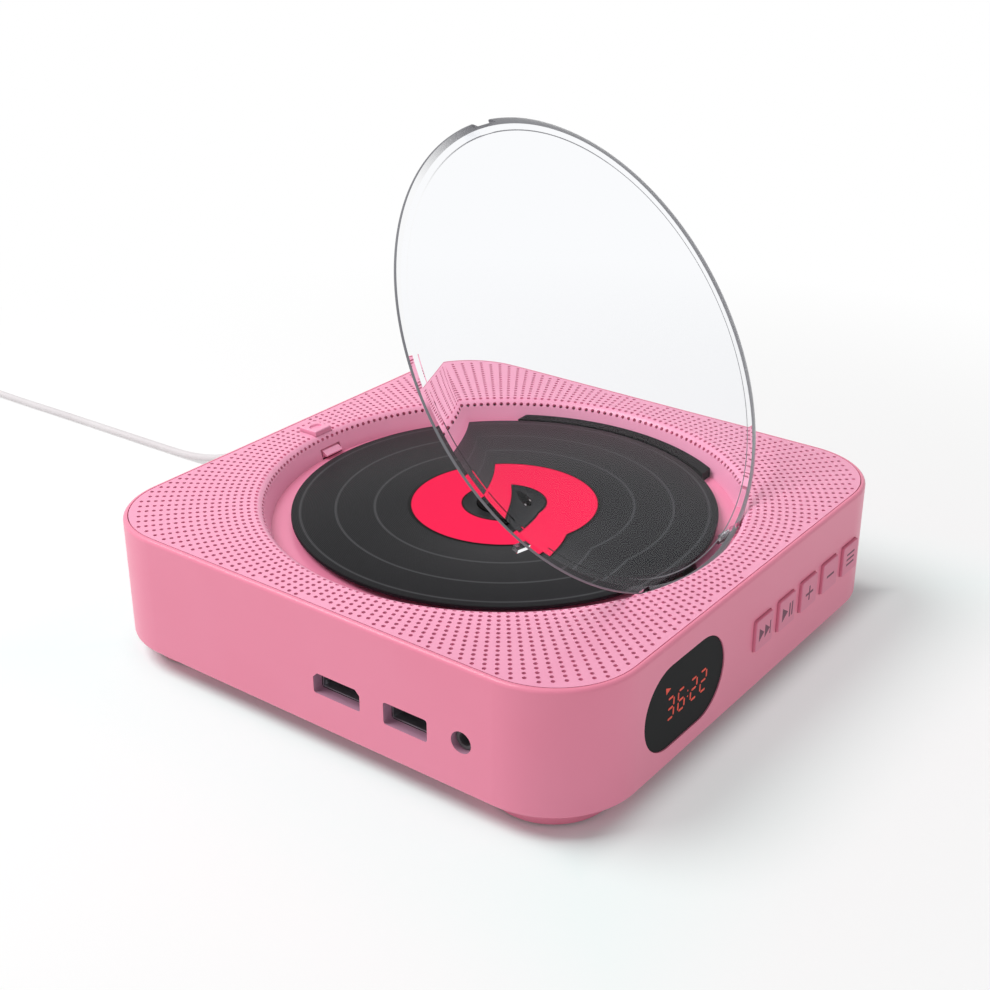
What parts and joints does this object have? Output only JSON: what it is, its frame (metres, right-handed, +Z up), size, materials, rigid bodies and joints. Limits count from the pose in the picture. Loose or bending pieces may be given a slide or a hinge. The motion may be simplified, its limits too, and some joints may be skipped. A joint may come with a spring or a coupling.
{
  "type": "top-loading disc player",
  "caption": "Square desktop disc player with a perforated top, an open clear hinged lid over the disc, side display and keys, sockets, round feet and a power cord.",
  "frame": {"origin": "on the floor, under the axis that the disc turns about", "axes": "+Z up; +X out of the side with the display and keys; -Y out of the side with the sockets"},
  "size_m": [0.4034, 0.1636, 0.1443],
  "materials": {
    "pink_plastic": "satin",
    "pink_panel": "satin",
    "dark_plastic": "matt",
    "clear_plastic": "polished",
    "black_gloss": "polished",
    "disc_black": "polished",
    "label_red": "printed",
    "steel": "brushed",
    "socket_metal": "polished",
    "spring_steel": "bright",
    "board_green": "satin",
    "chip_black": "matt",
    "rubber_dark": "matt",
    "rubber_grey": "matt",
    "sled_plastic": "satin",
    "lens_glass": "polished",
    "cone_paper": "matt",
    "white_cord": "satin",
    "white_plastic": "satin",
    "ribbon_white": "satin"
  },
  "bodies": {
    "case": {"main_housing": "pink_plastic", "grille_panel": "pink_panel", "disc_tub": "pink_panel", "finger_pad": "dark_plastic", "bottom_cover": "pink_plastic", "feet": "pink_plastic", "foot_pads": "rubber_grey", "foot_screws": "steel", "tub_screws": "steel", "panel_screws": "steel", "hinge_pins": "steel", "lid_spring": "spring_steel", "button_springs": "spring_steel", "latch_spring": "spring_steel", "deck_chassis": "steel", "deck_dampers": "rubber_dark", "deck_screws": "steel", "spindle_motor": "steel", "guide_rods": "steel", "sled_motor": "steel", "lid_switch": "dark_plastic", "main_board": "board_green", "board_screws": "steel", "main_chips": "chip_black", "board_capacitors": "dark_plastic", "hdmi_socket": "socket_metal", "usb_socket": "socket_metal", "av_jack": "black_gloss", "power_board": "board_green", "dc_jack": "black_gloss", "display_board": "board_green", "display_module": "black_gloss", "ir_receiver": "black_gloss", "display_window": "black_gloss", "key_switches": "chip_black", "speaker_frames": "steel", "speaker_cones": "cone_paper", "speaker_magnets": "steel", "ribbon_cable": "ribbon_white", "dc_plug": "white_plastic", "power_cord": "white_cord", "power_cord_coil": "white_cord", "cord_tie": "white_plastic", "far_plug": "white_plastic", "far_plug_shell": "socket_metal"},
    "lid_body": {"lid": "clear_plastic"},
    "button_body": {"open_button": "pink_plastic"},
    "latch_body": {"latch": "pink_plastic"},
    "turntable_body": {"turntable": "sled_plastic", "clamp_balls": "steel", "disc": "disc_black", "disc_label": "label_red"},
    "sled_body": {"pickup_sled": "sled_plastic", "pickup_lens": "lens_glass"},
    "screw_body": {"lead_screw": "steel"},
    "key_skip_body": {"key_skip": "pink_plastic"},
    "key_play_body": {"key_play": "pink_plastic"},
    "key_plus_body": {"key_plus": "pink_plastic"},
    "key_minus_body": {"key_minus": "pink_plastic"},
    "key_function_body": {"key_function": "pink_plastic"}
  },
  "joints": [
    {"name": "lid_hinge", "type": "hinge", "parent": "case", "child": "lid_body", "pos_m": [0.06086, 0, 0.03834], "axis": [0, -1, 0], "range_deg": [0, 56.2], "stiffness_Nm_per_rad": 0.025, "springref_deg": -80.21},
    {"name": "open_button_press", "type": "slide", "parent": "case", "child": "button_body", "axis": [0, 0, -1], "range_m": [0, 0.0015], "stiffness_N_per_m": 400, "springref_m": -0.001, "deforming": ["button_springs"]},
    {"name": "latch_slide", "type": "slide", "parent": "case", "child": "latch_body", "axis": [-1, 0, 0], "range_m": [0, 0.0015]},
    {"name": "disc_spin", "type": "hinge", "parent": "case", "child": "turntable_body", "pos_m": [0, 0, 0.0363], "axis": [0, 0, -1], "continuous": true},
    {"name": "sled_slide", "type": "slide", "parent": "case", "child": "sled_body", "axis": [1, 0, 0], "range_m": [-0.0105, 0.021]},
    {"name": "lead_screw_spin", "type": "hinge", "parent": "case", "child": "screw_body", "pos_m": [0.0325, -0.023, 0.0276], "axis": [-1, 0, 0], "continuous": true},
    {"name": "key_skip_press", "type": "slide", "parent": "case", "child": "key_skip_body", "axis": [-1, 0, 0], "range_m": [0, 0.0006], "stiffness_N_per_m": 600, "springref_m": -0.001},
    {"name": "key_play_press", "type": "slide", "parent": "case", "child": "key_play_body", "axis": [-1, 0, 0], "range_m": [0, 0.0006], "stiffness_N_per_m": 600, "springref_m": -0.001},
    {"name": "key_plus_press", "type": "slide", "parent": "case", "child": "key_plus_body", "axis": [-1, 0, 0], "range_m": [0, 0.0006], "stiffness_N_per_m": 600, "springref_m": -0.001},
    {"name": "key_minus_press", "type": "slide", "parent": "case", "child": "key_minus_body", "axis": [-1, 0, 0], "range_m": [0, 0.0006], "stiffness_N_per_m": 600, "springref_m": -0.001},
    {"name": "key_function_press", "type": "slide", "parent": "case", "child": "key_function_body", "axis": [-1, 0, 0], "range_m": [0, 0.0006], "stiffness_N_per_m": 600, "springref_m": -0.001}
  ],
  "couplings": [
    {"joint": "latch_slide", "follows": "open_button_press", "ratio": 1},
    {"joint": "lead_screw_spin", "follows": "sled_slide", "rad_per_m": 2094.4}
  ]
}
